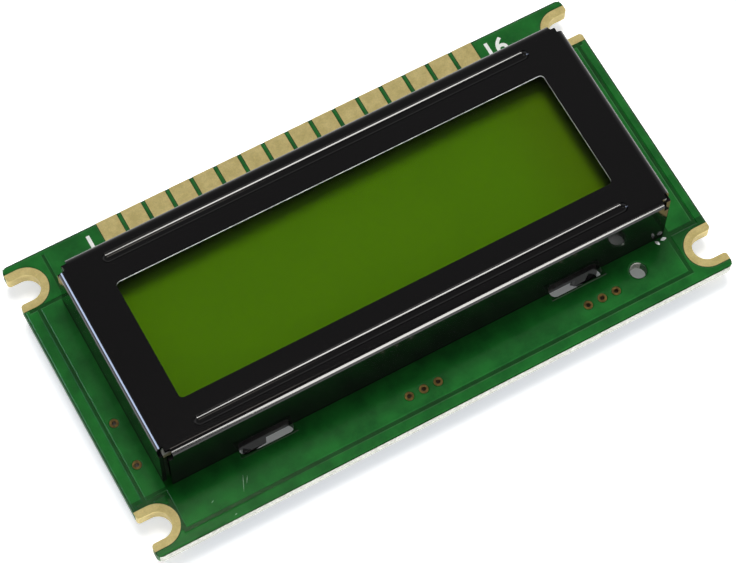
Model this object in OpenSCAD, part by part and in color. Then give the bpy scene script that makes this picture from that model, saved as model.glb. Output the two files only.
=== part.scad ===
// Character display module: a stamped steel bezel clamps a glass display cell and an LED backlight
// onto a slotted circuit board with a row of sixteen edge contacts.
// The origin is at the middle of the board outline, on the surface that the bezel's tabs stand on.

/* [Board] */
// Length of the circuit board
board_l = 60; // [50:0.5:75]
// Width of the circuit board
board_w = 32.2; // [26.5:0.1:42]
// Thickness of the laminate
board_t = 1.2; // [0.8:0.1:2]
// Radius of the board's outer corners
board_corner_r = 0.6; // [0.2:0.1:0.8]
// Thickness of the plated copper on the faces and in the slots
copper_t = 0.05; // [0.03:0.01:0.1]

/* [Edge contacts] */
// Number of contacts along the back edge
contact_count = 16; // [2:1:16]
// Spacing of the contacts
contact_pitch = 2.54; // [2:0.01:2.6]
// Width of one contact
contact_w = 2.1; // [1:0.05:2.3]
// Length of one contact, inwards from the board's edge
contact_l = 3.4; // [2:0.1:4]

/* [Fixing slots] */
// Width of the clear slot, for an M2.5 screw
fix_slot_w = 2.7; // [2:0.1:3.3]
// Distance from the board's short edge to the centre of the slot's round end
fix_slot_reach = 1.3; // [1:0.1:2]
// Distance from the board's long edge to the slot's centreline
fix_slot_edge = 2.85; // [2.8:0.05:4]
// Width of the copper land round the slot
fix_land_w = 0.77; // [0.4:0.01:0.95]
// Radius of the lips at the slot's mouth
fix_mouth_r = 0.35; // [0.1:0.05:0.5]

/* [Bezel] */
// Height of the bezel above the board
bezel_h = 6.9; // [5.5:0.1:9]
// Thickness of the bezel's steel sheet
sheet_t = 0.4; // [0.3:0.05:0.5]
// Outside radius of the folds
fold_r = 0.6; // [0.55:0.05:0.9]
// Distance from the bezel's end wall to the board's short edge
bezel_end_margin = 3.7; // [3.6:0.1:5]
// Distance from the bezel's front wall to the board's front edge
bezel_front_margin = 5.7; // [5:0.1:8]
// Distance from the bezel's back wall to the board's back edge
bezel_back_margin = 5; // [4.5:0.1:8]
// Width of the rim between the window and the bezel's end wall
rim_end_w = 4.1; // [3.4:0.1:6]
// Width of the rim between the window and the bezel's long wall
rim_side_w = 4.35; // [3.9:0.05:6]
// Radius of the window's corners
window_r = 0.4; // [0.1:0.1:1]
// Distance that each wall stops short of the bezel's corner
corner_open = 0.65; // [0.45:0.05:1.2]
// Extra length cut out of each fold at the corner relief
relief_w = 0.45; // [0.1:0.05:0.8]
// Depth of the corner relief below the fold
relief_h = 0.5; // [0.2:0.1:1]

/* [Bezel beads] */
// Width of the stiffening bead's flat floor
bead_floor_w = 0.35; // [0.1:0.05:0.6]
// Radius of the bead's sides, on the outside of the sheet
bead_side_r = 0.35; // [0.35:0.05:0.5]
// Depth of the bead
bead_depth = 0.3; // [0.1:0.05:0.35]
// Distance from the bezel's long wall to the bead's centreline
bead_inset = 1.75; // [1.6:0.05:2.2]
// Distance from the bezel's end wall to the bead's round end
bead_end_gap = 4.1; // [2.5:0.1:8]

/* [Bezel tabs] */
// Width of a locking tab
tab_w = 2.4; // [1.6:0.1:3]
// Distance from the bezel's end wall to the middle of the tab
tab_inset = 8.9; // [6:0.1:12]
// Straight length of the tab below the board
tab_lead = 0.2; // [0.1:0.05:0.5]
// Height over which the tab is twisted
tab_twist_h = 0.5; // [0.3:0.1:1]
// Height of the flat head under the twist
tab_head_h = 0.9; // [0.5:0.1:1.5]
// Angle through which the tab is twisted
tab_twist = 38; // [20:1:60]
// Length of the board slot that takes the tab
tab_slot_l = 5.5; // [4.5:0.1:7]
// Width of the board slot that takes the tab
tab_slot_w = 1.15; // [1:0.05:1.5]
// Clearance between the tab and the slot's inner side
tab_slot_gap = 0.1; // [0.05:0.05:0.2]
// Clearance between the tab's edge and the slot's round end
tab_end_gap = 0.35; // [0.3:0.05:0.6]

/* [Display cell] */
// Thickness of each glass plate
glass_t = 0.7; // [0.5:0.05:1.1]
// Thickness of the sealed gap between the plates
seal_t = 0.1; // [0.05:0.01:0.2]
// Width of the perimeter seal
seal_w = 1; // [0.5:0.1:2]
// Thickness of each polarizer
polarizer_t = 0.2; // [0.1:0.05:0.25]
// Distance from the glass edge to the polarizer's edge
polarizer_inset = 0.4; // [0.2:0.1:1]
// Clearance between the front glass and the bezel's walls
glass_gap = 0.2; // [0.1:0.05:0.4]
// Clearance between the front glass and the beads that hold it down
press_gap = 0.02; // [0:0.01:0.1]

/* [Connector strips] */
// Width of an elastomer connector strip
strip_w = 1.8; // [1.2:0.1:2]
// Clearance between a strip and the bezel's wall
strip_gap = 0.25; // [0.1:0.05:0.5]
// Distance from the strip's end to the bezel's end wall
strip_end_gap = 2; // [1:0.1:4]
// Pitch of the board contacts under the strips
finger_pitch = 1; // [0.8:0.1:2]
// Width of one board contact under the strips
finger_w = 0.6; // [0.3:0.05:0.7]

/* [Backlight] */
// Thickness of the backlight's own circuit board
light_board_t = 0.6; // [0.4:0.1:1]
// Thickness of the diffuser film
diffuser_t = 0.2; // [0.1:0.05:0.3]
// Clearance between the backlight and the connector strips
light_gap = 0.2; // [0.1:0.05:0.5]
// Clearance between the backlight and the bezel's end walls
light_end_gap = 0.6; // [0.3:0.1:1.5]
// Number of reflector cells along the backlight
cell_cols = 9; // [3:1:9]
// Number of rows of reflector cells
cell_rows = 2; // [1:1:2]
// Thickness of the walls between the cells
cell_wall = 0.8; // [0.5:0.1:1.2]
// Thickness of the reflector's outer side walls
cell_side = 1; // [0.6:0.1:2]
// Thickness of the reflector's end blocks, which hold the leads
cell_end = 2.4; // [2:0.1:4]
// Side of one LED die
die_w = 0.35; // [0.2:0.05:0.5]
// Height of one LED die
die_h = 0.25; // [0.1:0.05:0.4]
// Diameter of a backlight lead
lead_d = 0.5; // [0.4:0.05:0.8]
// Clearance round a lead in the boards
lead_gap = 0.1; // [0.05:0.05:0.2]
// Spacing of the two leads
lead_pitch = 2.54; // [2:0.01:5.08]
// Length of lead below the board
lead_tail = 0.9; // [0.5:0.1:1.2]
// Radius of the solder joint on a lead
solder_r = 0.85; // [0.6:0.05:1]
// Height of the solder joint on a lead
solder_h = 0.6; // [0.3:0.1:0.8]

/* [Holes] */
// Diameter of the plain tooling hole
tooling_hole_d = 1.6; // [1:0.1:2]
// Distance from the board's short edge to the tooling hole
tooling_hole_end = 8.15; // [7.5:0.05:9]
// Distance from the board's front edge to the tooling hole
tooling_hole_front = 3.75; // [2:0.05:4]
// Diameter of the hole in a via
via_d = 0.45; // [0.3:0.05:0.6]
// Width of the ring round a via
via_ring_w = 0.2; // [0.1:0.05:0.3]
// Spacing of the vias in a group
via_pitch = 1.5; // [1.2:0.1:2]
// Distance from the board's front edge to the rows of vias
via_front = 2.95; // [2:0.05:4]
// Offset of the middle row of vias along the board, from the board's middle
via_middle_x = -1.4; // [-6:0.1:6]
// Offset of the end row of vias along the board, from the board's middle
via_end_row_x = 17.5; // [12:0.1:18]
// Distance from the board's short edge to the end vias
via_end = 2.36; // [1.5:0.01:3]
// Offset of the first end via across the board, from the board's middle
via_end_a_y = -2.62; // [-4:0.01:0]
// Offset of the second end via across the board, from the board's middle
via_end_b_y = -7.2; // [-9:0.1:-6]

/* [Underside parts] */
// Diameter of the epoxy blob over the controller chip
controller_d = 15; // [10:0.5:16]
// Height of the epoxy blob over the controller chip
controller_h = 1.2; // [0.8:0.1:1.3]
// Diameter of the epoxy blob over the driver chip
driver_d = 13; // [8:0.5:14]
// Height of the epoxy blob over the driver chip
driver_h = 1.1; // [0.8:0.1:1.3]
// Distance between the centres of the two blobs
blob_pitch = 20; // [17:0.5:24]
// Length of a chip resistor or capacitor
chip_l = 2; // [1.6:0.1:2.2]
// Width of a chip resistor or capacitor
chip_w = 1.25; // [0.8:0.05:1.6]
// Thickness of a chip resistor
resistor_t = 0.5; // [0.3:0.05:0.7]
// Thickness of a chip capacitor
capacitor_t = 0.8; // [0.5:0.05:1]
// Thickness of the plating on a chip's ends
chip_cap_t = 0.05; // [0.03:0.01:0.1]
// Length of the plating on a chip's ends
chip_cap_l = 0.35; // [0.2:0.05:0.5]
// Number of chip resistors
resistor_count = 5; // [1:1:6]
// Spacing of the chip resistors
resistor_pitch = 3.4; // [3:0.1:4]
// Distance between the two chip capacitors
capacitor_pitch = 18; // [8:0.5:19]
// Distance from the board's long edges to the rows of chips
chip_row_edge = 3.3; // [2:0.1:4]

/* [Hidden] */
$fn = 64;

// A cut runs this far past the face that it opens
past = 1;
// A plan shape laps this far over the one that it joins
lap = 0.1;
// Steps in the twist of a tab
twist_slices = 6;
// Facets of an epoxy dome's sphere, of which only a small cap is used
dome_fn = 180;

// Heights: the tabs stand on z = 0
board_z = tab_lead + tab_twist_h + tab_head_h;
top_z = board_z + board_t;
bezel_top_z = top_z + bezel_h;
front_glass_z = bezel_top_z - sheet_t - bead_depth - press_gap - glass_t;
rear_glass_z = front_glass_z - seal_t - glass_t;
rear_polarizer_z = rear_glass_z - polarizer_t;
diffuser_z = rear_polarizer_z - diffuser_t;
reflector_z = top_z + light_board_t;
reflector_h = diffuser_z - reflector_z;

// The bezel's outline and its offset from the middle of the board
bezel_l = board_l - 2 * bezel_end_margin;
bezel_w = board_w - bezel_front_margin - bezel_back_margin;
bezel_y = (bezel_front_margin - bezel_back_margin) / 2;
window_l = bezel_l - 2 * rim_end_w;
window_w = bezel_w - 2 * rim_side_w;
bead_y = bezel_w / 2 - bead_inset;
bead_half_w = bead_floor_w / 2 + bead_side_r;
bead_run = bezel_l - 2 * (bead_end_gap + bead_half_w);
tab_x = bezel_l / 2 - tab_inset;
tab_slot_x = tab_x + tab_w / 2 + tab_end_gap - tab_slot_l / 2;
tab_slot_y = bezel_w / 2 - sheet_t - tab_slot_gap + tab_slot_w / 2;

// The display cell fills the bezel, and the backlight fits between the strips
front_glass_l = bezel_l - 2 * (sheet_t + glass_gap);
front_glass_w = bezel_w - 2 * (sheet_t + glass_gap);
strip_y = bezel_w / 2 - sheet_t - strip_gap - strip_w / 2;
strip_l = bezel_l - 2 * (sheet_t + strip_end_gap);
strip_h = front_glass_z - top_z - copper_t;
light_w = 2 * (strip_y - strip_w / 2 - light_gap);
light_l = bezel_l - 2 * (sheet_t + light_end_gap);
lead_x = light_l / 2 - cell_end / 2;

// A fixing slot's centre, from the middle of the board
fix_x = board_l / 2 - fix_slot_reach;
fix_y = board_w / 2 - fix_slot_edge;
fix_r = fix_slot_w / 2;

// The places of the vias, as [x, y] from the middle of the board
via_row_y = via_front - board_w / 2;
via_end_x = via_end - board_l / 2;
via_places = [
    for (i = [-1:1]) [via_middle_x + i * via_pitch, via_row_y],
    for (i = [-1:1]) [via_end_row_x + i * via_pitch, via_row_y],
    [via_end_x, via_end_a_y],
    [via_end_x, via_end_b_y]
];

// A rectangle with round corners, centred on the origin
module round_rect(l, w, r) {
    square([l - 2 * r, w], center = true);
    square([l, w - 2 * r], center = true);
    for (sx = [-1, 1], sy = [-1, 1])
        translate([sx * (l / 2 - r), sy * (w / 2 - r)])
            circle(r);
}

// A slot with round ends along X, centred on the origin
module round_slot(l, w) {
    square([l - w, w], center = true);
    for (s = [-1, 1])
        translate([s * (l - w) / 2, 0])
            circle(w / 2);
}

// A block centred on X and Y, with its base on z = 0
module block(l, w, h) {
    translate([-l / 2, -w / 2, 0])
        cube([l, w, h]);
}

// The plan of a fixing slot of half-width r: its round end is at the origin and its mouth is along +X
module fixing_slot(r) {
    circle(r);
    translate([0, -r])
        square([fix_slot_reach + past, 2 * r]);
    for (s = [-1, 1])
        mirror([0, s < 0 ? 1 : 0])
            translate([fix_slot_reach - fix_mouth_r, r])
                difference() {
                    translate([0, -lap])
                        square([fix_mouth_r + past, fix_mouth_r + lap]);
                    translate([0, fix_mouth_r])
                        circle(fix_mouth_r);
                }
}

// Repeats its children at the four fixing slots, with each mouth outwards
module at_fixing_slots() {
    for (sx = [0, 1], sy = [-1, 1])
        mirror([sx, 0])
            translate([fix_x, sy * fix_y])
                children();
}

// Repeats its children at the four bezel tabs
module at_tabs(x, y) {
    for (sx = [-1, 1], sy = [-1, 1])
        translate([sx * x, bezel_y + sy * y])
            children();
}

// Repeats its children at the two backlight leads
module at_leads() {
    for (s = [-1, 1])
        translate([lead_x, bezel_y + s * lead_pitch / 2])
            children();
}

module board_plan() {
    round_rect(board_l, board_w, board_corner_r);
}

module pcb() {
    color("seagreen")
        translate([0, 0, board_z])
            linear_extrude(board_t)
                difference() {
                    board_plan();
                    at_fixing_slots()
                        fixing_slot(fix_r + copper_t);
                    at_tabs(tab_slot_x, tab_slot_y)
                        round_slot(tab_slot_l, tab_slot_w);
                    for (p = via_places)
                        translate(p)
                            circle(via_d / 2 + copper_t);
                    at_leads()
                        circle(lead_d / 2 + lead_gap);
                    translate([board_l / 2 - tooling_hole_end, tooling_hole_front - board_w / 2])
                        circle(tooling_hole_d / 2);
                }
}

module edge_contacts() {
    color("goldenrod")
        for (i = [0:contact_count - 1])
            translate([
                (i - (contact_count - 1) / 2) * contact_pitch,
                board_w / 2 - contact_l / 2,
                top_z
            ])
                block(contact_w, contact_l, copper_t);
}

// The plan of one slot's land, cut to the board's outline
module land_plan() {
    intersection() {
        difference() {
            union() {
                circle(fix_r + fix_land_w);
                translate([0, -fix_r - fix_land_w])
                    square([fix_slot_reach, 2 * (fix_r + fix_land_w)]);
            }
            fixing_slot(fix_r);
        }
        translate([-fix_x, -fix_y])
            board_plan();
    }
}

module slot_plating() {
    color("goldenrod")
        for (sx = [0, 1], sy = [0, 1])
            mirror([sx, 0, 0])
                mirror([0, sy, 0])
                    translate([fix_x, fix_y, board_z]) {
                        for (z = [-copper_t, board_t])
                            translate([0, 0, z])
                                linear_extrude(copper_t)
                                    land_plan();
                        linear_extrude(board_t)
                            intersection() {
                                difference() {
                                    fixing_slot(fix_r + copper_t);
                                    fixing_slot(fix_r);
                                }
                                translate([-fix_slot_w, -fix_y])
                                    square([fix_slot_w + fix_slot_reach, 2 * fix_y]);
                            }
                    }
}

module vias() {
    color("darkgoldenrod")
        for (p = via_places)
            translate([p[0], p[1], board_z])
                difference() {
                    union() {
                        cylinder(r = via_d / 2 + copper_t, h = board_t);
                        for (z = [-copper_t, board_t])
                            translate([0, 0, z])
                                cylinder(r = via_d / 2 + via_ring_w, h = copper_t);
                    }
                    translate([0, 0, -past])
                        cylinder(r = via_d / 2, h = board_t + 2 * past);
                }
}

module strip_contacts() {
    finger_count = floor((strip_l - finger_w) / finger_pitch);
    color("goldenrod")
        for (s = [-1, 1], i = [0:finger_count - 1])
            translate([
                (i - (finger_count - 1) / 2) * finger_pitch,
                bezel_y + s * strip_y,
                top_z
            ])
                block(finger_w, strip_w, copper_t);
}

// One wall and its fold: the outer face is on y = 0, and the fold starts at y = -fold_r
module bezel_wall(half_l) {
    wall_l = 2 * (half_l - corner_open);
    fold_l = wall_l - 2 * relief_w;
    translate([0, -sheet_t / 2, 0]) {
        block(wall_l, sheet_t, bezel_h - fold_r - relief_h);
        block(fold_l, sheet_t, bezel_h - fold_r);
    }
    translate([-fold_l / 2, -fold_r, bezel_h - fold_r])
        rotate([90, 0, 90])
            linear_extrude(fold_l)
                intersection() {
                    difference() {
                        circle(fold_r);
                        circle(fold_r - sheet_t);
                    }
                    square(fold_r);
                }
}

// A locking tab under a long wall: straight through the board, then twisted, then a flat head
module bezel_tab(turn) {
    through = board_t + tab_lead;
    translate([0, 0, -through])
        block(tab_w, sheet_t, through);
    translate([0, 0, -through - tab_twist_h])
        rotate([0, 0, turn * tab_twist])
            linear_extrude(tab_twist_h, twist = turn * tab_twist, slices = twist_slices, $fn = 4)
                square([tab_w, sheet_t], center = true);
    translate([0, 0, -through - tab_twist_h - tab_head_h])
        rotate([0, 0, turn * tab_twist])
            block(tab_w, sheet_t, tab_head_h);
}

// The round-sided form of a bead along X: a flat floor, round sides of radius r and round ends
module bead_form(r) {
    for (s = [-1, 1]) {
        translate([-bead_run / 2, s * bead_floor_w / 2, 0])
            rotate([0, 90, 0])
                cylinder(r = r, h = bead_run);
        translate([s * bead_run / 2, 0, 0])
            rotate_extrude()
                intersection() {
                    union() {
                        translate([bead_floor_w / 2, 0])
                            circle(r);
                        translate([0, -r])
                            square([bead_floor_w / 2, 2 * r]);
                    }
                    translate([0, -r])
                        square([bead_floor_w / 2 + r, 2 * r]);
                }
    }
    translate([0, 0, -r])
        block(bead_run, bead_floor_w, 2 * r);
}

module bezel_plate() {
    bead_z = bezel_h + bead_side_r - bead_depth;
    difference() {
        union() {
            translate([0, 0, bezel_h - sheet_t])
                linear_extrude(sheet_t)
                    difference() {
                        square([bezel_l - 2 * fold_r, bezel_w - 2 * fold_r], center = true);
                        round_rect(window_l, window_w, window_r);
                    }
            for (s = [-1, 1])
                intersection() {
                    translate([0, s * bead_y, bead_z])
                        bead_form(bead_side_r + sheet_t);
                    translate([0, s * bead_y, bezel_h - sheet_t - bead_depth])
                        block(bezel_l, 2 * (bead_half_w + sheet_t), bead_depth + sheet_t / 2);
                }
        }
        for (s = [-1, 1])
            translate([0, s * bead_y, bead_z])
                bead_form(bead_side_r);
    }
}

module bezel() {
    color("black")
        translate([0, bezel_y, top_z]) {
            bezel_plate();
            for (a = [0, 180])
                rotate([0, 0, a]) {
                    translate([0, bezel_w / 2, 0]) {
                        bezel_wall(bezel_l / 2);
                        for (s = [-1, 1])
                            translate([s * tab_x, -sheet_t / 2, 0])
                                bezel_tab(s);
                    }
                    rotate([0, 0, 90])
                        translate([0, bezel_l / 2, 0])
                            bezel_wall(bezel_w / 2);
                }
        }
}

// A flat plate of the display cell, centred under the window
module cell_plate(l, w, z, t) {
    translate([0, bezel_y, z])
        block(l, w, t);
}

module front_polarizer() {
    color("darkolivegreen", 0.4)
        cell_plate(
            front_glass_l - 2 * polarizer_inset,
            2 * (bead_y - bead_half_w - sheet_t - light_gap),
            front_glass_z + glass_t,
            polarizer_t
        );
}

module front_glass() {
    color("lightcyan", 0.4)
        cell_plate(front_glass_l, front_glass_w, front_glass_z, glass_t);
}

module cell_seal() {
    color("lightgray")
        translate([0, bezel_y, front_glass_z - seal_t])
            linear_extrude(seal_t)
                difference() {
                    square([front_glass_l, light_w], center = true);
                    square([front_glass_l - 2 * seal_w, light_w - 2 * seal_w], center = true);
                }
}

module rear_glass() {
    color("lightcyan", 0.4)
        cell_plate(front_glass_l, light_w, rear_glass_z, glass_t);
}

module rear_polarizer() {
    color("olivedrab")
        cell_plate(
            front_glass_l - 2 * polarizer_inset,
            light_w - 2 * polarizer_inset,
            rear_polarizer_z,
            polarizer_t
        );
}

// An elastomer strip from the board's contacts to the front glass, on the side s
module connector_strip(s) {
    color("dimgray")
        translate([0, bezel_y + s * strip_y, top_z + copper_t])
            block(strip_l, strip_w, strip_h);
}

module strip_front() {
    connector_strip(-1);
}

module strip_back() {
    connector_strip(1);
}

module diffuser_film() {
    color("honeydew")
        cell_plate(light_l, light_w, diffuser_z, diffuser_t);
}

// The size of one reflector cell, and the places of all of them
cell_l = (light_l - 2 * cell_end - (cell_cols - 1) * cell_wall) / cell_cols;
cell_w = (light_w - 2 * cell_side - (cell_rows - 1) * cell_wall) / cell_rows;

module at_cells() {
    for (i = [0:cell_cols - 1], j = [0:cell_rows - 1])
        translate([
            (i - (cell_cols - 1) / 2) * (cell_l + cell_wall),
            (j - (cell_rows - 1) / 2) * (cell_w + cell_wall)
        ])
            children();
}

module backlight_reflector() {
    color("white")
        translate([0, bezel_y, reflector_z])
            linear_extrude(reflector_h)
                difference() {
                    square([light_l, light_w], center = true);
                    at_cells()
                        square([cell_l, cell_w], center = true);
                }
}

module backlight_board() {
    color("darkkhaki")
        translate([0, 0, top_z])
            linear_extrude(light_board_t)
                difference() {
                    translate([0, bezel_y])
                        square([light_l, light_w], center = true);
                    at_leads()
                        circle(lead_d / 2 + lead_gap);
                }
}

module led_dice() {
    color("yellow")
        translate([0, bezel_y, reflector_z])
            at_cells()
                block(die_w, die_w, die_h);
}

module backlight_leads() {
    color("silver")
        translate([0, 0, board_z - lead_tail])
            at_leads()
                cylinder(d = lead_d, h = lead_tail + board_t + light_board_t);
}

module lead_solder() {
    color("gainsboro")
        translate([0, 0, board_z])
            at_leads()
                mirror([0, 0, 1])
                    difference() {
                        cylinder(r1 = solder_r, r2 = lead_d / 2 + lead_gap, h = solder_h);
                        translate([0, 0, -past])
                            cylinder(d = lead_d, h = solder_h + 2 * past);
                    }
}

// An epoxy dome of diameter d and height h that hangs under the board
module blob(d, h) {
    dome_r = (h * h + d * d / 4) / (2 * h);
    translate([0, 0, board_z])
        intersection() {
            translate([0, 0, dome_r - h])
                sphere(dome_r, $fn = dome_fn);
            translate([0, 0, -h - past])
                cylinder(d = d + past, h = h + past);
        }
}

module controller_blob() {
    color("black")
        translate([-blob_pitch / 2, bezel_y, 0])
            blob(controller_d, controller_h);
}

module driver_blob() {
    color("black")
        translate([blob_pitch / 2, bezel_y, 0])
            blob(driver_d, driver_h);
}

// One chip's ceramic body of thickness t, which hangs under the board
module chip_body(t) {
    translate([0, 0, board_z - chip_cap_t - t])
        block(chip_l, chip_w, t);
}

// The two plated ends of one chip
module chip_ends(t) {
    difference() {
        for (s = [-1, 1])
            translate([
                s * (chip_l / 2 + chip_cap_t - chip_cap_l / 2),
                0,
                board_z - 2 * chip_cap_t - t
            ])
                block(chip_cap_l, chip_w + 2 * chip_cap_t, t + 2 * chip_cap_t);
        chip_body(t);
    }
}

module at_resistors() {
    for (i = [0:resistor_count - 1])
        translate([
            (i - (resistor_count - 1) / 2) * resistor_pitch,
            board_w / 2 - chip_row_edge,
            0
        ])
            children();
}

module at_capacitors() {
    for (s = [-1, 1])
        translate([s * capacitor_pitch / 2, chip_row_edge - board_w / 2, 0])
            children();
}

module chip_resistors() {
    color("darkslategray")
        at_resistors()
            chip_body(resistor_t);
}

module resistor_ends() {
    color("silver")
        at_resistors()
            chip_ends(resistor_t);
}

module chip_capacitors() {
    color("tan")
        at_capacitors()
            chip_body(capacitor_t);
}

module capacitor_ends() {
    color("silver")
        at_capacitors()
            chip_ends(capacitor_t);
}

pcb();
edge_contacts();
slot_plating();
vias();
strip_contacts();
bezel();
front_polarizer();
front_glass();
cell_seal();
rear_glass();
rear_polarizer();
strip_front();
strip_back();
diffuser_film();
backlight_reflector();
backlight_board();
led_dice();
backlight_leads();
lead_solder();
controller_blob();
driver_blob();
chip_resistors();
resistor_ends();
chip_capacitors();
capacitor_ends();
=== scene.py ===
import math
import bmesh
import bpy
from mathutils import Matrix, Vector


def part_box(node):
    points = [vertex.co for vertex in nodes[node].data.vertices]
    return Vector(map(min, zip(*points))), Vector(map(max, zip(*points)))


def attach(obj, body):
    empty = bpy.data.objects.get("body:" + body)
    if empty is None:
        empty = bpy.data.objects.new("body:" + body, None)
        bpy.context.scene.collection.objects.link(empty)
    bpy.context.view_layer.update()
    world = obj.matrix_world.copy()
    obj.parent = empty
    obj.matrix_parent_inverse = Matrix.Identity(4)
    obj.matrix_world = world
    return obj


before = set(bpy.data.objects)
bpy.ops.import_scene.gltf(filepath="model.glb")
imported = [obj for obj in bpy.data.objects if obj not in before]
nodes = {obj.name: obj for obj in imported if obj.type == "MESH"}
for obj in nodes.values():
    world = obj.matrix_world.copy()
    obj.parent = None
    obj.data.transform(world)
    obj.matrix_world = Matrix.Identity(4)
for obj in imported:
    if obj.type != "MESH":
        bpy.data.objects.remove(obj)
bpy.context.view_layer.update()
body = "root"
mm = 0.001
tiny = 1e-6  # m, below any real difference of place
print("frame loaded with", len(nodes), "nodes")

camera = {
    "lens": 142.3,  # mm
    "sensor": 36,  # mm, its width
    "clip": (0.01, 20),  # m
    "target": (-0.67, -1.29, 2.8),  # mm, on the board's top face
    "distance": 269.3,  # mm
    "azimuth": -29.21,
    "elevation": 65.53,
    "roll": 0.46,
}

# Each lamp is a soft box: radiance, size and distance in mm, angles as the camera's.
# A lamp lights matt surfaces, or else it is a reflection in the glossy ones
lamps = {
    "keyBox": {
        "lights": "matt",
        "radiance": 9.5,
        "colour": "#FFFEFA",
        "size": (380, 380),
        "distance": 800,
        "aim": (156, 70),
    },
    "edgeBox": {
        "lights": "matt",
        "radiance": 24,
        "colour": "#FFFFFF",
        "size": (600, 100),
        "distance": 800,
        "aim": (-6, 7),
    },
    "frontBox": {
        "lights": "gloss",
        "radiance": 18,
        "colour": "#FFFDF8",
        "size": (170, 640),
        "distance": 800,
        "aim": (14, 28),
    },
    "leftBox": {
        "lights": "gloss",
        "radiance": 18,
        "colour": "#CBDCFF",
        "size": (170, 400),
        "distance": 800,
        "aim": (-114, 24),
    },
    "backSpot": {
        "lights": "gloss",
        "radiance": 3.5,
        "colour": "#FFF6EA",
        "size": (90, 90),
        "distance": 600,
        "aim": (158, 77.6),
    },
}
lampTarget = (0, 0, 5)  # mm
worldGlow = {"colour": "#FFFFFF", "horizon": 0.9, "zenith": 0.12}
floorLook = {
    "size": 4.0,  # m
    "paper": "#F8F8F6",
    "lift": 0.5,
    # painted shade: the floor under the board is lifted less
    "shadedUnderLift": 0.06,  # seen through the board's holes
    "under": (25.5, 15.5),  # mm from the middle, the part under the board
    "liftColour": "#ECF0FA",
}


def aimMatrix(target, distance, azimuth, elevation, roll=0.0):
    turn = Matrix.Rotation(math.radians(azimuth), 4, "Z")
    tip = Matrix.Rotation(math.radians(90 - elevation), 4, "X")
    spin = Matrix.Rotation(math.radians(roll), 4, "Z")
    away = turn @ tip @ Vector((0, 0, distance * mm))
    return Matrix.Translation(Vector(target) * mm + away) @ turn @ tip @ spin


def linear(hexColour):
    # sRGB hex to the linear colour that Blender's sockets take
    parts = [int(hexColour[i : i + 2], 16) / 255 for i in (1, 3, 5)]
    return tuple(c / 12.92 if c <= 0.04045 else ((c + 0.055) / 1.055) ** 2.4 for c in parts) + (1.0,)


def addNode(tree, kind, settings=None, links=None):
    # adds one shader node; a setting is a property if the node has it, or else a socket
    node = tree.nodes.new("ShaderNode" + kind)
    for key, value in (settings or {}).items():
        if isinstance(key, str) and hasattr(node, key):
            setattr(node, key, value)
        else:
            node.inputs[key].default_value = value
    for key, source in (links or {}).items():
        tree.links.new(source, node.inputs[key])
    return node


def newMaterial(name):
    mat = bpy.data.materials.new(name)
    mat.use_nodes = True
    tree = mat.node_tree
    tree.nodes.clear()
    return mat, tree, addNode(tree, "TexCoord").outputs["Object"]


def makeCamera():
    bpy.ops.object.camera_add()
    cam = bpy.context.object
    cam.name = "studioCamera"
    cam.data.sensor_width = camera["sensor"]
    cam.data.lens = camera["lens"]
    cam.data.clip_start, cam.data.clip_end = camera["clip"]
    cam.matrix_world = aimMatrix(
        camera["target"], camera["distance"], camera["azimuth"], camera["elevation"], camera["roll"]
    )
    bpy.context.scene.camera = cam


def makeLamps():
    for name, box in lamps.items():
        bpy.ops.object.light_add(type="AREA")
        lamp = bpy.context.object
        lamp.name = name
        wide, tall = box["size"][0] * mm, box["size"][1] * mm
        lamp.data.shape = "RECTANGLE"
        lamp.data.size = wide
        lamp.data.size_y = tall
        lamp.data.energy = box["radiance"] * math.pi * wide * tall
        lamp.data.color = linear(box["colour"])[:3]
        lamp.matrix_world = aimMatrix(lampTarget, box["distance"], *box["aim"])
        lamp.visible_diffuse = box["lights"] == "matt"
        lamp.visible_glossy = box["lights"] == "gloss"


def makeWorld():
    # a pale room with a darker ceiling, so that flat black enamel stays black
    world = bpy.data.worlds.new("studioWorld")
    world.use_nodes = True
    bpy.context.scene.world = world
    tree = world.node_tree
    sky = tree.nodes["Background"]
    sky.inputs["Color"].default_value = linear(worldGlow["colour"])
    way = addNode(tree, "SeparateXYZ", None, {"Vector": addNode(tree, "TexCoord").outputs["Generated"]})
    climb = {"To Min": worldGlow["horizon"], "To Max": worldGlow["zenith"]}
    glow = addNode(tree, "MapRange", climb, {"Value": way.outputs["Z"]})
    tree.links.new(glow.outputs["Result"], sky.inputs["Strength"])


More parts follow.
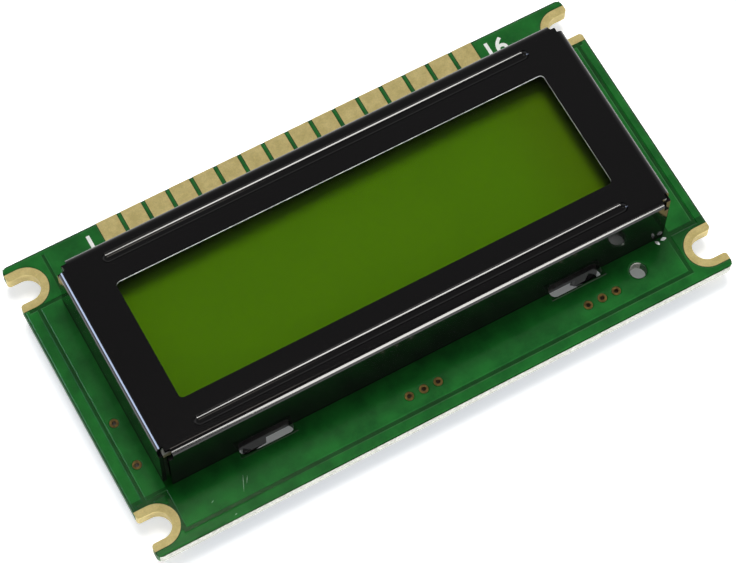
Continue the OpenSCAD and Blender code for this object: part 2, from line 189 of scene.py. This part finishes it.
def makeFloor():
    # White paper. What the camera, mirrors and glass see of it is lifted, and it keeps the shadow.
    # Under the board the lift is small, a painted shade, so that the floor seen through the board's holes
    # stays dark
    bpy.ops.mesh.primitive_plane_add(size=floorLook["size"])
    floor = bpy.context.object
    floor.name = "paperFloor"
    mat, tree, coords = newMaterial("whitePaper")
    path = addNode(tree, "LightPath")
    seen = path.outputs["Is Camera Ray"]
    either = {"operation": "MAXIMUM"}
    for ray in ("Is Glossy Ray", "Is Transmission Ray"):
        seen = addNode(tree, "Math", either, {0: seen, 1: path.outputs[ray]}).outputs[0]
    away = addNode(tree, "VectorMath", {"operation": "ABSOLUTE"}, {0: coords})
    place = addNode(tree, "SeparateXYZ", None, {"Vector": away.outputs[0]})
    outside = None
    for axis, half in zip("XY", floorLook["under"]):
        more = {"operation": "GREATER_THAN", 1: half * mm}
        beyond = addNode(tree, "Math", more, {0: place.outputs[axis]}).outputs[0]
        if outside:
            beyond = addNode(tree, "Math", either, {0: outside, 1: beyond}).outputs[0]
        outside = beyond
    # painted shade: the lift falls to a small value under the board
    ends = {"To Min": floorLook["shadedUnderLift"], "To Max": floorLook["lift"]}
    amount = addNode(tree, "MapRange", ends, {"Value": outside})
    lift = addNode(tree, "Math", {"operation": "MULTIPLY"}, {0: seen, 1: amount.outputs["Result"]})
    liftColour = {"Color": linear(floorLook["liftColour"])}
    glow = addNode(tree, "Emission", liftColour, {"Strength": lift.outputs[0]})
    paper = addNode(tree, "BsdfDiffuse", {"Color": linear(floorLook["paper"])})
    both = addNode(tree, "AddShader", None, {0: glow.outputs[0], 1: paper.outputs[0]})
    addNode(tree, "OutputMaterial", None, {"Surface": both.outputs[0]})
    floor.data.materials.append(mat)


clearBounces = 16  # the display is a stack of clear sheets, and each of them counts
makeCamera()
makeLamps()
makeWorld()
makeFloor()
bpy.context.scene.view_settings.view_transform = "Standard"
bpy.context.scene.cycles.transparent_max_bounces = clearBounces
print("camera, lamps and floor made")


def mottle(tree, coords, grain, dark, light, contrast=0.15):
    # a soft cloud of two colours; grain is the size of one blotch in mm
    blotches = {"Scale": 1 / (grain * mm), "Detail": 4, "Roughness": 0.6}
    cloud = addNode(tree, "TexNoise", blotches, {"Vector": coords})
    reach = {"From Min": 0.5 - contrast, "From Max": 0.5 + contrast}
    share = addNode(tree, "MapRange", reach, {"Value": cloud.outputs["Fac"]})
    ends = {"data_type": "RGBA", 6: linear(dark), 7: linear(light)}
    return addNode(tree, "Mix", ends, {"Factor": share.outputs["Result"]}).outputs[2]


def fineRelief(tree, coords, grain, depth):
    # a fine uneven skin; the size of a grain and its depth are in mm
    grains = addNode(tree, "TexNoise", {"Scale": 1 / (grain * mm), "Detail": 3}, {"Vector": coords})
    skin = {"Distance": depth * mm, "Strength": 0.5}
    return addNode(tree, "Bump", skin, {"Height": grains.outputs["Fac"]})


# The band of mask painted darker at the foot of the bezel's front wall, as painted shade, in mm across the
# board
paintedFootShade = {"wall": -10.3, "dark": -10.6, "clear": -13.8, "keep": 0.5}


# Liquid solder mask, screened and cured over etched copper: a deep green lacquer with a wet gloss.
# Its colour is painted darker in a band along the foot of the bezel's front wall, a painted shade of the
# wall
def solderMask(name, dark, light):
    mat, tree, coords = newMaterial(name)
    cloud = mottle(tree, coords, 2.5, dark, light)
    place = addNode(tree, "SeparateXYZ", None, {"Vector": coords})
    # painted shade: the lacquer's colour is scaled down towards the foot of the front wall
    clear, dark = paintedFootShade["clear"] * mm, paintedFootShade["dark"] * mm
    reach = {"From Min": clear, "From Max": dark, "To Min": 1, "To Max": paintedFootShade["keep"]}
    keep = addNode(tree, "MapRange", reach, {"Value": place.outputs["Y"]})
    before = {"operation": "LESS_THAN", 1: paintedFootShade["wall"] * mm}
    front = addNode(tree, "Math", before, {0: place.outputs["Y"]})
    share = addNode(tree, "Mix", {2: 1.0}, {"Factor": front.outputs[0], 3: keep.outputs["Result"]})
    scaled = {0: cloud, "Scale": share.outputs[0]}
    lacquer = addNode(tree, "VectorMath", {"operation": "SCALE"}, scaled).outputs[0]
    skin = fineRelief(tree, coords, 0.5, 0.003)
    mask = addNode(
        tree,
        "BsdfPrincipled",
        {"Roughness": 0.1, "IOR": 1.5},
        {"Base Color": lacquer, "Normal": skin.outputs["Normal"]},
    )
    addNode(tree, "OutputMaterial", None, {"Surface": mask.outputs[0]})
    return mat


# Glass-epoxy laminate under the mask.
# Its snapped long edges are pale, dry and torn, and its routed ends are green
def maskedLaminate():
    mat, tree, coords = newMaterial("maskedLaminate")
    lacquer = mottle(tree, coords, 2.5, "#063A0E", "#094814")
    normal = addNode(tree, "NewGeometry").outputs["True Normal"]
    facing = addNode(tree, "SeparateXYZ", None, {"Vector": normal})
    steep = addNode(tree, "Math", {"operation": "ABSOLUTE"}, {0: facing.outputs["Z"]})
    edge = addNode(tree, "Math", {"operation": "LESS_THAN", 1: 0.5}, {0: steep.outputs[0]})
    endways = addNode(tree, "Math", {"operation": "ABSOLUTE"}, {0: facing.outputs["X"]})
    atEnd = addNode(tree, "Math", {"operation": "GREATER_THAN", 1: 0.7}, {0: endways.outputs[0]})
    along = addNode(tree, "Mapping", {"Scale": (1, 1, 3)}, {"Vector": coords}).outputs[0]
    snapped = mottle(tree, along, 0.25, "#8A8C80", "#EDEDE8", 0.2)
    routed = mottle(tree, along, 0.25, "#1F4A2A", "#58805A")
    blend = {"data_type": "RGBA"}
    cut = addNode(tree, "Mix", blend, {"Factor": atEnd.outputs[0], 6: snapped, 7: routed})
    tone = addNode(tree, "Mix", blend, {"Factor": edge.outputs[0], 6: lacquer, 7: cut.outputs[2]})
    torn = fineRelief(tree, along, 0.25, 0.05)
    rough = addNode(tree, "MapRange", {"To Min": 0.12, "To Max": 0.8}, {"Value": edge.outputs[0]})
    links = {
        "Base Color": tone.outputs[2],
        "Roughness": rough.outputs["Result"],
        "Normal": torn.outputs["Normal"],
    }
    tree.links.new(rough.outputs["Result"], torn.inputs["Strength"])
    board = addNode(tree, "BsdfPrincipled", {"IOR": 1.5}, links)
    addNode(tree, "OutputMaterial", None, {"Surface": board.outputs[0]})
    return mat


# Immersion gold over matt etched copper: a pale warm metal with a fine grain and no mirror in it
def immersionGold():
    mat, tree, coords = newMaterial("immersionGold")
    cloud = mottle(tree, coords, 0.9, "#CAB878", "#DBC989")
    speckle = addNode(tree, "TexNoise", {"Scale": 1 / (0.16 * mm), "Detail": 2}, {"Vector": coords})
    light = addNode(tree, "MapRange", {"To Min": 0.8, "To Max": 1.2}, {"Value": speckle.outputs["Fac"]})
    scaled = {0: cloud, "Scale": light.outputs["Result"]}
    tone = addNode(tree, "VectorMath", {"operation": "SCALE"}, scaled)
    skin = fineRelief(tree, coords, 0.12, 0.01)
    rough = addNode(tree, "MapRange", {"To Min": 0.42, "To Max": 0.6}, {"Value": speckle.outputs["Fac"]})
    links = {
        "Base Color": tone.outputs[0],
        "Roughness": rough.outputs["Result"],
        "Normal": skin.outputs["Normal"],
    }
    gold = addNode(tree, "BsdfPrincipled", {"Metallic": 0.5}, links)
    addNode(tree, "OutputMaterial", None, {"Surface": gold.outputs[0]})
    return mat


# Grains of the enamel's slow wave and its fine peel, with their depths, in mm
enamelSkin = {"wave": (6, 0.02), "peel": (0.4, 0.001)}


# Cold-rolled steel with baked black enamel: a deep gloss with a slow wave in it.
# At the top of the punched window the sheet's edge is bare steel, and its near-white tone is a painted
# highlight
def blackEnamel():
    mat, tree, coords = newMaterial("blackEnamel")
    waveGrain, waveDepth = enamelSkin["wave"]
    peelGrain, peelDepth = enamelSkin["peel"]
    wave = addNode(tree, "TexNoise", {"Scale": 1 / (waveGrain * mm), "Detail": 2}, {"Vector": coords})
    peel = addNode(tree, "TexNoise", {"Scale": 1 / (peelGrain * mm), "Detail": 2}, {"Vector": coords})
    rise = {"Distance": waveDepth * mm, "Strength": 0.4}
    slow = addNode(tree, "Bump", rise, {"Height": wave.outputs["Fac"]})
    fine = {"Height": peel.outputs["Fac"], "Normal": slow.outputs["Normal"]}
    skin = addNode(tree, "Bump", {"Distance": peelDepth * mm, "Strength": 0.5}, fine)
    normal = addNode(tree, "NewGeometry").outputs["True Normal"]
    facing = addNode(tree, "SeparateXYZ", None, {"Vector": normal})
    steep = addNode(tree, "Math", {"operation": "ABSOLUTE"}, {0: facing.outputs["Z"]})
    punched = addNode(tree, "Math", {"operation": "LESS_THAN", 1: 0.2}, {0: steep.outputs[0]}).outputs[0]
    fromMiddle = addNode(tree, "VectorMath", {"operation": "SUBTRACT", 1: window["middle"]}, {0: coords})
    away = addNode(tree, "VectorMath", {"operation": "ABSOLUTE"}, {0: fromMiddle.outputs[0]})
    place = addNode(tree, "SeparateXYZ", None, {"Vector": away.outputs[0]})
    both = {"operation": "MULTIPLY"}
    for axis, half in zip("XY", window["half"]):
        within = {"operation": "LESS_THAN", 1: half + window["margin"]}
        near = addNode(tree, "Math", within, {0: place.outputs[axis]})
        punched = addNode(tree, "Math", both, {0: punched, 1: near.outputs[0]}).outputs[0]
    above = {"operation": "GREATER_THAN", 1: window["bareHighlight"]}
    upper = addNode(tree, "Math", above, {0: place.outputs["Z"]})
    punched = addNode(tree, "Math", both, {0: punched, 1: upper.outputs[0]}).outputs[0]
    # painted highlight: the bare edge's near-white tone stands in for the light it catches
    bareSteelHighlight = mottle(tree, coords, 0.5, "#A8AAAE", "#ECECEE")
    ends = {"data_type": "RGBA", 6: linear("#050405")}
    tone = addNode(tree, "Mix", ends, {"Factor": punched, 7: bareSteelHighlight})
    rough = addNode(tree, "MapRange", {"To Min": 0.09, "To Max": 0.5}, {"Value": punched})
    links = {
        "Base Color": tone.outputs[2],
        "Roughness": rough.outputs["Result"],
        "Normal": skin.outputs["Normal"],
    }
    enamel = addNode(tree, "BsdfPrincipled", {"IOR": 1.5}, links)
    addNode(tree, "OutputMaterial", None, {"Surface": enamel.outputs[0]})
    return mat


# A clear sheet bonded to its neighbours, so only its free faces shine
def clearSheet(name, tint, shine, roughness):
    mat, tree, _ = newMaterial(name)
    through = addNode(tree, "BsdfTransparent", {"Color": linear(tint)})
    gloss = addNode(tree, "BsdfGlossy", {"Roughness": roughness})
    glance = addNode(tree, "Fresnel", {"IOR": 1.5})
    share = addNode(tree, "Math", {"operation": "MULTIPLY", 1: shine}, {0: glance.outputs[0]})
    layers = {"Fac": share.outputs[0], 1: through.outputs[0], 2: gloss.outputs[0]}
    sheet = addNode(tree, "MixShader", None, layers)
    addNode(tree, "OutputMaterial", None, {"Surface": sheet.outputs[0]})
    return mat


# Each painted shade on the film is (axis, start and end in mm, share at its end, colour)
paintedFilmShades = [
    ("X", 14.0, 22.5, 0.6, "#5C7202"),
    ("Y", 6.4, 7.7, 0.8, "#262E04"),
    ("X", 21.3, 22.8, 0.7, "#262E04"),
]


# The rear polarizer of a yellow-green display with its silvered back: matt, even and saturated.
# Towards the window's right and back edges its colour is painted darker and more olive, a painted shade of
# the black bezel above the glass
def yellowGreenFilm():
    mat, tree, coords = newMaterial("yellowGreenFilm")
    tone = mottle(tree, coords, 14, "#598302", "#5D8702")
    place = addNode(tree, "SeparateXYZ", None, {"Vector": coords})
    # painted shade: the film's colour is mixed towards darker tones near the window's edges
    for axis, start, end, most, shade in paintedFilmShades:
        reach = {"From Min": start * mm, "From Max": end * mm, "To Max": most}
        reach["interpolation_type"] = "SMOOTHSTEP"
        share = addNode(tree, "MapRange", reach, {"Value": place.outputs[axis]})
        ends = {"data_type": "RGBA", 7: linear(shade)}
        tone = addNode(tree, "Mix", ends, {"Factor": share.outputs["Result"], 6: tone}).outputs[2]
    matt = {"Roughness": 0.6, "Specular IOR Level": 0.1}
    film = addNode(tree, "BsdfPrincipled", matt, {"Base Color": tone})
    addNode(tree, "OutputMaterial", None, {"Surface": film.outputs[0]})
    return mat


# A plain moulded, plated, cured or sintered surface with a soft mottle and a fine grain
def plainStuff(name, dark, light, roughness, grain, metallic=0.0):
    mat, tree, coords = newMaterial(name)
    cloud = mottle(tree, coords, grain, dark, light)
    skin = fineRelief(tree, coords, grain / 5, 0.004)
    values = {"Roughness": roughness, "Metallic": metallic}
    links = {"Base Color": cloud, "Normal": skin.outputs["Normal"]}
    stuff = addNode(tree, "BsdfPrincipled", values, links)
    addNode(tree, "OutputMaterial", None, {"Surface": stuff.outputs[0]})
    return mat


rubberLayer = 0.3  # mm, coarser than the real 0.1 mm


# Silicone rubber in thin conducting and clear layers across its length
def layeredRubber():
    mat, tree, coords = newMaterial("layeredRubber")
    bands = {"bands_direction": "X", "Scale": 0.25 / (rubberLayer * mm)}
    layers = addNode(tree, "TexWave", bands, {"Vector": coords})
    ends = {"data_type": "RGBA", 6: linear("#1A1A1C"), 7: linear("#B9B7AE")}
    tone = addNode(tree, "Mix", ends, {"Factor": layers.outputs["Fac"]})
    rubber = addNode(tree, "BsdfPrincipled", {"Roughness": 0.6}, {"Base Color": tone.outputs[2]})
    addNode(tree, "OutputMaterial", None, {"Surface": rubber.outputs[0]})
    return mat


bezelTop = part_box("bezel")[1].z
boardLow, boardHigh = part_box("pcb")
boardTop = boardHigh.z / mm
boardBottom = boardLow.z / mm
bezelMiddle = 0.35  # mm, the bezel's centreline across the board
window = {
    "middle": (0, bezelMiddle * mm, 0),
    "half": (22.2 * mm, 6.4 * mm),  # the clear opening is 44.4 x 12.8 mm
    "margin": 0.1 * mm,
    # above this height the bare cut edge carries the painted highlight
    "bareHighlight": bezelTop - 0.16 * mm,  # the enamel ran over the cut edge up to here
}
finishes = {
    "pcb": maskedLaminate(),
    "edge_contacts": immersionGold(),
    "vias": plainStuff("tinnedRing", "#5A4820", "#8A7038", 0.5, 0.3, metallic=0.5),
    "bezel": blackEnamel(),
    "front_polarizer": clearSheet("antiGlareFilm", "#F6F8F0", 0.2, 0.1),
    "front_glass": clearSheet("floatGlass", "#FCFDFB", 0.02, 0.02),
    "cell_seal": plainStuff("sealEpoxy", "#C9C4B0", "#DAD6C6", 0.5, 0.6),
    "rear_polarizer": yellowGreenFilm(),
    "strip_front": layeredRubber(),
    "diffuser_film": plainStuff("opalPolyester", "#ECECE6", "#F4F4F0", 0.6, 2),
    "backlight_reflector": plainStuff("whiteAbs", "#E9E7DF", "#F2F0EA", 0.4, 2),
    "backlight_board": plainStuff("bareLaminate", "#B9B68A", "#CFCDA6", 0.5, 0.6),
    "led_dice": plainStuff("ledDie", "#B5C21F", "#D0DA3C", 0.3, 0.1),
    "backlight_leads": plainStuff("tinnedCopper", "#B4B6B8", "#D3D5D6", 0.3, 0.4, metallic=1.0),
    "lead_solder": plainStuff("tinSolder", "#A9ACAE", "#D5D7D8", 0.25, 0.5, metallic=1.0),
    "controller_blob": plainStuff("globEpoxy", "#0B0B0C", "#151517", 0.35, 0.8),
    "chip_resistors": plainStuff("resistorGlaze", "#101114", "#1B1C20", 0.35, 0.3),
    "resistor_ends": plainStuff("tinPlate", "#B9BBBC", "#D8DADA", 0.35, 0.2, metallic=1.0),
    "chip_capacitors": plainStuff("capacitorCeramic", "#8F7355", "#A98C6B", 0.5, 0.3),
}
shared = {
    "slot_plating": "edge_contacts",
    "strip_contacts": "edge_contacts",
    "rear_glass": "front_glass",
    "strip_back": "strip_front",
    "driver_blob": "controller_blob",
    "capacitor_ends": "resistor_ends",
}
for nodeName, cadObject in nodes.items():
    finish = finishes[shared.get(nodeName, nodeName)]
    for slot in cadObject.material_slots:
        slot.material = finish
print("materials given to the CAD nodes")


def useOnly(piece):
    bpy.ops.object.select_all(action="DESELECT")
    piece.select_set(True)
    bpy.context.view_layer.objects.active = piece


def addBlock(name, xs, ys, zs):
    # a box between two values in mm on each axis, with its place in its mesh
    bpy.ops.object.select_all(action="DESELECT")
    low = Vector((xs[0], ys[0], zs[0])) * mm
    high = Vector((xs[1], ys[1], zs[1])) * mm
    bpy.ops.mesh.primitive_cube_add(size=1, location=(low + high) / 2, scale=high - low)
    bpy.ops.object.transform_apply(location=True, rotation=True, scale=True)
    piece = bpy.context.object
    piece.name = name
    return piece


def addPost(name, place, radius, zs, sides=48):
    # an upright cylinder in mm
    bpy.ops.object.select_all(action="DESELECT")
    middle = Vector((place[0], place[1], (zs[0] + zs[1]) / 2)) * mm
    bpy.ops.mesh.primitive_cylinder_add(
        vertices=sides, radius=radius * mm, depth=(zs[1] - zs[0]) * mm, location=middle
    )
    bpy.ops.object.transform_apply(location=True, rotation=True, scale=True)
    piece = bpy.context.object
    piece.name = name
    return piece


def carve(piece, cutters):
    # takes each cutter out of the piece and deletes the cutter
    for cutter in cutters:
        useOnly(piece)
        bpy.ops.object.modifier_add(type="BOOLEAN")
        cut = piece.modifiers[-1]
        cut.operation = "DIFFERENCE"
        cut.solver = "EXACT"
        cut.object = cutter
        bpy.ops.object.modifier_apply(modifier=cut.name)
        bpy.data.objects.remove(cutter)


def pick(piece, kind, wanted):
    # enters edit mode with only the faces, edges or vertices that wanted says yes to
    useOnly(piece)
    bpy.ops.object.mode_set(mode="EDIT")
    bpy.ops.mesh.select_mode(type=kind)
    bpy.ops.mesh.select_all(action="DESELECT")
    mesh = bmesh.from_edit_mesh(piece.data)
    parts = {"FACE": mesh.faces, "EDGE": mesh.edges, "VERT": mesh.verts}[kind]
    for part in parts:
        part.select_set(bool(wanted(part)))
    bmesh.update_edit_mesh(piece.data)


def finishPiece(piece, material, slotName):
    piece.data.materials.clear()
    piece.data.materials.append(material)
    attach(piece, body)


# The green lacquer over the top copper: proud of the laminate, with dips between the copper areas.
# Each groove is (x, x, y, y) in mm
topMask = {
    "height": 0.06,
    "skirt": 0.09,  # width of the sloping border of each copper area
    "drop": 0.043,
    "edge": 0.12,  # distance from the board's edge
    "grooves": [
        (-28.78, -28.46, -11.0, 11.05),
        (-29.0, -26.0, 10.75, 11.08),
        (-28.78, -26.42, -11.0, -10.68),
        (-29.5, -27.9, -11.3, -10.68),
        (-29.5, -27.9, 10.75, 11.3),
        (27.9, 29.5, 10.75, 11.3),
        (-27.1, -26.42, -14.7, -11.8),
        (-26.75, -26.42, -15.0, -10.68),
        (-26.75, 26.28, -15.0, -14.63),
        (25.92, 26.28, -15.0, -10.43),
        (25.92, 29.16, -10.76, -10.43),
        (28.84, 29.16, -10.76, 11.08),
        (26.2, 29.16, 10.75, 11.08),
        (-26.02, -25.76, 10.75, 15.6),
    ],
    "slotMiddle": (28.7, 13.25),
    "landRadius": 2.19,
    "contacts": {"count": 16, "pitch": 2.54, "halfWidth": 1.12, "inner": 12.62, "outer": 17},
    "vias": [
        (-2.9, -13.15),
        (-1.4, -13.15),
        (0.1, -13.15),
        (16, -13.15),
        (17.5, -13.15),
        (19, -13.15),
        (-27.64, -2.62),
        (-27.64, -7.2),
    ],
    "viaRadius": 0.46,
    "viaSides": 24,
    "weld": 0.02,  # corners closer than this are made one
    "toolingHole": (21.85, -12.35, 0.88),
    "tabSlot": {"middle": (16.2, 10.825), "half": (2.85, 0.7)},
    "bezelHalf": (26.34, 10.79),
}


def makeTopMask():
    spec = topMask
    top = boardTop + spec["height"]
    deep = (boardTop - 1, top + 1)
    halfX = boardHigh.x / mm - spec["edge"]
    halfY = boardHigh.y / mm - spec["edge"]
    piece = addBlock("topMask", (-halfX, halfX), (-halfY, halfY), (boardTop, top))
    cutters = [addBlock("cut", g[0:2], g[2:4], deep) for g in spec["grooves"]]
    hx, hy = spec["bezelHalf"]
    cutters.append(addBlock("cut", (-hx, hx), (bezelMiddle - hy, bezelMiddle + hy), deep))
    sx, sy = spec["slotMiddle"]
    r = spec["landRadius"]
    px, py = spec["tabSlot"]["middle"]
    tx, ty = spec["tabSlot"]["half"]
    for a in (-1, 1):
        for b in (-1, 1):
            cutters.append(addPost("cut", (a * sx, b * sy), r, deep))
            outer = sorted((a * sx, a * (sx + 3)))
            cutters.append(addBlock("cut", outer, (b * sy - r, b * sy + r), deep))
            middle = bezelMiddle + b * py
            cutters.append(addBlock("cut", (a * px - tx, a * px + tx), (middle - ty, middle + ty), deep))
    row = spec["contacts"]
    for i in range(row["count"]):
        x = (i - (row["count"] - 1) / 2) * row["pitch"]
        across = (x - row["halfWidth"], x + row["halfWidth"])
        cutters.append(addBlock("cut", across, (row["inner"], row["outer"]), deep))
    for place in spec["vias"]:
        cutters.append(addPost("cut", place, spec["viaRadius"], deep, spec["viaSides"]))
    hole = spec["toolingHole"]
    cutters.append(addPost("cut", hole[:2], hole[2], deep))
    carve(piece, cutters)
    # The border of each area slopes down to the laminate
    pick(piece, "VERT", lambda v: True)
    bpy.ops.mesh.remove_doubles(threshold=spec["weld"] * mm)
    bpy.ops.mesh.dissolve_limited(angle_limit=math.radians(1), use_dissolve_boundaries=False)
    bpy.ops.object.mode_set(mode="OBJECT")
    height = top * mm
    pick(piece, "FACE", lambda f: f.normal.z > 0.9 and f.calc_center_median().z > height - tiny)
    bpy.ops.mesh.inset(thickness=spec["skirt"] * mm, depth=0, use_boundary=True, use_even_offset=True)
    mesh = bmesh.from_edit_mesh(piece.data)
    rimVerts = []
    for vert in mesh.verts:
        byBezel = abs(vert.co.x) < hx * mm + tiny and abs(vert.co.y - bezelMiddle * mm) < hy * mm + tiny
        onRim = vert.co.z > height - tiny and not any(f.select for f in vert.link_faces)
        if onRim and not byBezel:
            rimVerts.append(vert)
    bpy.ops.mesh.select_all(action="DESELECT")
    bpy.ops.mesh.select_mode(type="VERT")
    for vert in rimVerts:
        vert.select_set(True)
    bmesh.update_edit_mesh(piece.data)
    bpy.ops.transform.translate(value=(0, 0, -spec["drop"] * mm))
    bpy.ops.object.mode_set(mode="OBJECT")
    finishPiece(piece, solderMask("solderMask", "#0C541B", "#166A24"), "solder_mask")


# Plain white numbers at the two ends of the contact row, screened on the mask
labels = {
    "size": 2.5,  # mm
    "thickness": 0.015,
    "stroke": 0.055,  # mm added to each side of a line
    "words": {"firstNumber": ("1", (-21.4, 13.55)), "lastNumber": ("16", (21.9, 13.55))},
}


def makeLabels():
    paint = plainStuff("screenedWhiteInk", "#E4E8E4", "#F4F6F4", 0.5, 0.4)
    for name, (word, place) in labels["words"].items():
        bpy.ops.object.select_all(action="DESELECT")
        bpy.ops.object.text_add()
        label = bpy.context.object
        label.name = name
        label.data.body = word
        label.data.size = labels["size"] * mm
        label.data.align_x = "CENTER"
        label.data.extrude = labels["thickness"] / 2 * mm
        label.data.offset = labels["stroke"] * mm
        bpy.ops.object.convert(target="MESH")
        label = bpy.context.object
        height = boardTop + topMask["height"] + labels["thickness"] / 2
        label.location = Vector((place[0], place[1], height)) * mm
        bpy.ops.object.transform_apply(location=True, rotation=True, scale=True)
        finishPiece(label, paint, "white_moulding")


# Small marks on the top: (name, x, y, length, width, height, degrees), in mm and from the long axis
marks = {
    "scratch": [
        ("longScratch", -20.05, -13.35, 1.6, 0.06, 0.01, 66),
        ("shortScratch", -19.6, -13.2, 0.8, 0.05, 0.01, 58),
        ("nick", -23.3, -13.6, 0.3, 0.09, 0.01, 30),
        ("frontNick", -22.0, -15.65, 0.25, 0.07, 0.01, 20),
    ],
    # two pale drops at the front wall's foot, read as dried flux; their near-white colour is a painted
    # glint
    "fluxGlint": [
        ("leftDrop", 24.85, -10.82, 0.55, 0.26, 0.12, -62),
        ("rightDrop", 25.55, -10.72, 0.6, 0.28, 0.12, -4),
    ],
}


def makeMarks():
    looks = {
        "scratch": (plainStuff("scratchedLacquer", "#5E8E68", "#9DBBA3", 0.5, 0.1), "solder_mask"),
        "fluxGlint": (plainStuff("driedFluxGlint", "#D4DAD8", "#F4F6F6", 0.3, 0.1), "seal_epoxy"),
    }
    top = boardTop + topMask["height"]
    for kind, group in marks.items():
        for name, x, y, length, width, height, degrees in group:
            middle = Vector((x, y, top)) * mm
            xs, ys = (x - length / 2, x + length / 2), (y - width / 2, y + width / 2)
            piece = addBlock(name, xs, ys, (top, top + height))
            pick(piece, "FACE", lambda f: True)
            bpy.ops.mesh.subdivide(number_cuts=3)
            bpy.ops.object.mode_set(mode="OBJECT")
            # narrow and lower it towards both ends
            for reach, keep in ((0.4, 0.75), (0.9, 0.12)):
                pick(piece, "VERT", lambda v: abs(v.co.x - middle.x) > reach * length / 2 * mm)
                bpy.ops.transform.resize(value=(1, keep, keep), center_override=middle)
                bpy.ops.object.mode_set(mode="OBJECT")
            pick(piece, "FACE", lambda f: True)
            bpy.ops.transform.rotate(
                value=math.radians(-degrees), orient_axis="Z", orient_type="GLOBAL", center_override=middle
            )
            bpy.ops.object.mode_set(mode="OBJECT")
            finishPiece(piece, *looks[kind])


# White print and raised tracks under the board; rings are (x, y, radius) and frames (x, x, y, y), in mm
underside = {
    "rings": [(-10, bezelMiddle, 8.1), (10, bezelMiddle, 7.1)],
    "frames": [(-8.3, 8.3, 11.5, 14.1), (-10.0, -8.0, -14.1, -11.5), (8.0, 10.0, -14.1, -11.5)],
    "line": 0.16,
    "ink": 0.015,
    "trackWidth": 0.2,
    "trackHeight": 0.035,
    "between": {"count": 9, "pitch": 0.7, "xs": (-1.7, 2.7)},
    "fan": {"count": 11, "pitch": 1.1, "low": 9.1, "bend": 10.2, "high": 11.1, "spread": 1.3},
}


def makeUnderside():
    spec = underside
    paint = plainStuff("screenedWhiteInkUnder", "#E4E8E4", "#F4F6F4", 0.5, 0.4)
    zs = (boardBottom - spec["ink"], boardBottom)
    deep = (boardBottom - 1, boardBottom + 1)
    line = spec["line"]
    for i, (x, y, radius) in enumerate(spec["rings"]):
        ring = addPost("printedRing%d" % (i + 1), (x, y), radius, zs, 96)
        carve(ring, [addPost("cut", (x, y), radius - line, deep, 96)])
        finishPiece(ring, paint, "white_moulding")
    for i, (x0, x1, y0, y1) in enumerate(spec["frames"]):
        outline = addBlock("printedFrame%d" % (i + 1), (x0, x1), (y0, y1), zs)
        inner = addBlock("cut", (x0 + line, x1 - line), (y0 + line, y1 - line), deep)
        carve(outline, [inner])
        finishPiece(outline, paint, "white_moulding")
    paths = []
    row = spec["between"]
    for i in range(row["count"]):
        y = bezelMiddle + (i - (row["count"] - 1) / 2) * row["pitch"]
        paths.append([(row["xs"][0], y), (row["xs"][1], y)])
    row = spec["fan"]
    for side in (-1, 1):
        for i in range(row["count"]):
            step = i - (row["count"] - 1) / 2
            nearX, farX = step * row["pitch"], step * row["spread"]
            lift = bezelMiddle if side < 0 else 0
            heights = [side * h + lift for h in (row["low"], row["bend"], row["high"])]
            paths.append([(nearX, heights[0]), (nearX, heights[1]), (farX, heights[2])])
    bpy.ops.object.select_all(action="DESELECT")
    bpy.ops.curve.primitive_bezier_curve_add()
    tracks = bpy.context.object
    tracks.name = "underTracks"
    tracks.data.splines.clear()
    tracks.data.dimensions = "3D"
    tracks.data.bevel_depth = spec["trackWidth"] / 2 * mm
    tracks.data.bevel_resolution = 0
    tracks.data.use_fill_caps = True
    for path in paths:
        spline = tracks.data.splines.new("POLY")
        spline.points.add(len(path) - 1)
        for point, (x, y) in zip(spline.points, path):
            point.co = (x * mm, y * mm, 0, 1)
    bpy.ops.object.convert(target="MESH")
    tracks = bpy.context.object
    pick(tracks, "VERT", lambda v: True)
    flat = spec["trackHeight"] / spec["trackWidth"]
    bpy.ops.transform.resize(value=(1, 1, flat), center_override=(0, 0, 0))
    bpy.ops.transform.translate(value=(0, 0, (boardBottom - spec["trackHeight"] / 2) * mm))
    bpy.ops.object.mode_set(mode="OBJECT")
    finishPiece(tracks, solderMask("solderMaskUnder", "#10601E", "#166E24"), "solder_mask")


makeTopMask()
makeLabels()
makeMarks()
print("solder mask relief, numbers and marks made")
makeUnderside()
print("underside print and tracks made")
